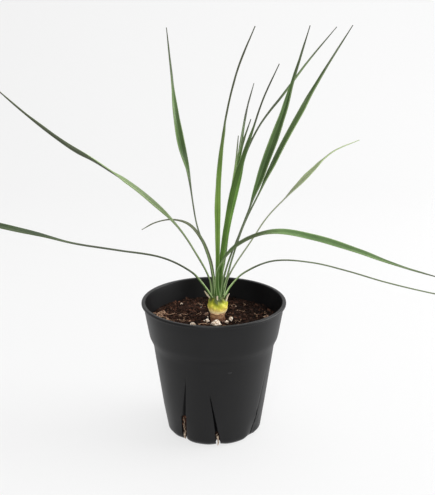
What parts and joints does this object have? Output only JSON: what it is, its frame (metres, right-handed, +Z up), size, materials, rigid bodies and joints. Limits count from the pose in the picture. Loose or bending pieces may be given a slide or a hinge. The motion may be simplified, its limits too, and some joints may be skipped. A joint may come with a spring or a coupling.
{
  "type": "potted yucca",
  "caption": "Young narrow-leaved yucca with a swollen stem, growing in a round tapered plastic nursery pot with slanted slits round its base.",
  "frame": {"origin": "centre of the pot's underside, on the surface that the pot stands on", "axes": "+Z up along the pot's axis, -Y towards the front of the plant, +X to the right of someone who faces the front"},
  "size_m": [0.4033, 0.2298, 0.3354],
  "materials": {
    "black_plastic": "moulded black polypropylene, matte with a faint satin sheen",
    "soil": "coarse dark peat and bark mix, dry on top",
    "stem": "smooth living bark, yellow-green over a brown root crown",
    "leaf_dark": "waxy dark green blade",
    "leaf_mid": "waxy mid green blade",
    "leaf_bright": "waxy bright green young blade",
    "leaf_pale": "waxy pale green blade with a soft bloom",
    "leaf_olive": "drying olive brown blade",
    "dry_leaf": "dry papery straw-coloured leaf base",
    "pumice": "rough porous pale pumice",
    "dry_root": "dry brown root fibre",
    "root_tip": "fleshy pale root"
  },
  "bodies": {
    "root": {"pot": "black_plastic", "soil": "soil", "stem": "stem", "leaf_left_high": "leaf_mid", "leaf_left_low": "leaf_dark", "leaf_left_upright": "leaf_dark", "leaf_left_kinked": "leaf_olive", "leaf_front_upright": "leaf_bright", "leaf_centre_broad": "leaf_mid", "leaf_centre_back": "leaf_dark", "leaf_young_long": "leaf_mid", "leaf_young_short": "leaf_bright", "leaf_back_twisted": "leaf_dark", "leaf_right_broad": "leaf_dark", "leaf_right_tall": "leaf_dark", "leaf_right_pale": "leaf_pale", "leaf_right_arching": "leaf_mid", "leaf_right_low": "leaf_dark", "stub_left": "dry_leaf", "stub_right": "dry_leaf", "stub_front": "dry_leaf", "pumice_foot_large": "pumice", "pumice_front_left": "pumice", "pumice_left": "pumice", "pumice_right": "pumice", "pumice_far_right": "pumice", "pumice_foot_left": "pumice", "pumice_foot_right": "pumice", "pumice_foot_back": "pumice", "fibre_curl": "dry_root", "fibre_thread": "dry_root", "root_slot_left": "root_tip", "root_slot_front": "root_tip", "root_slot_right": "root_tip"}
  },
  "joints": []
}
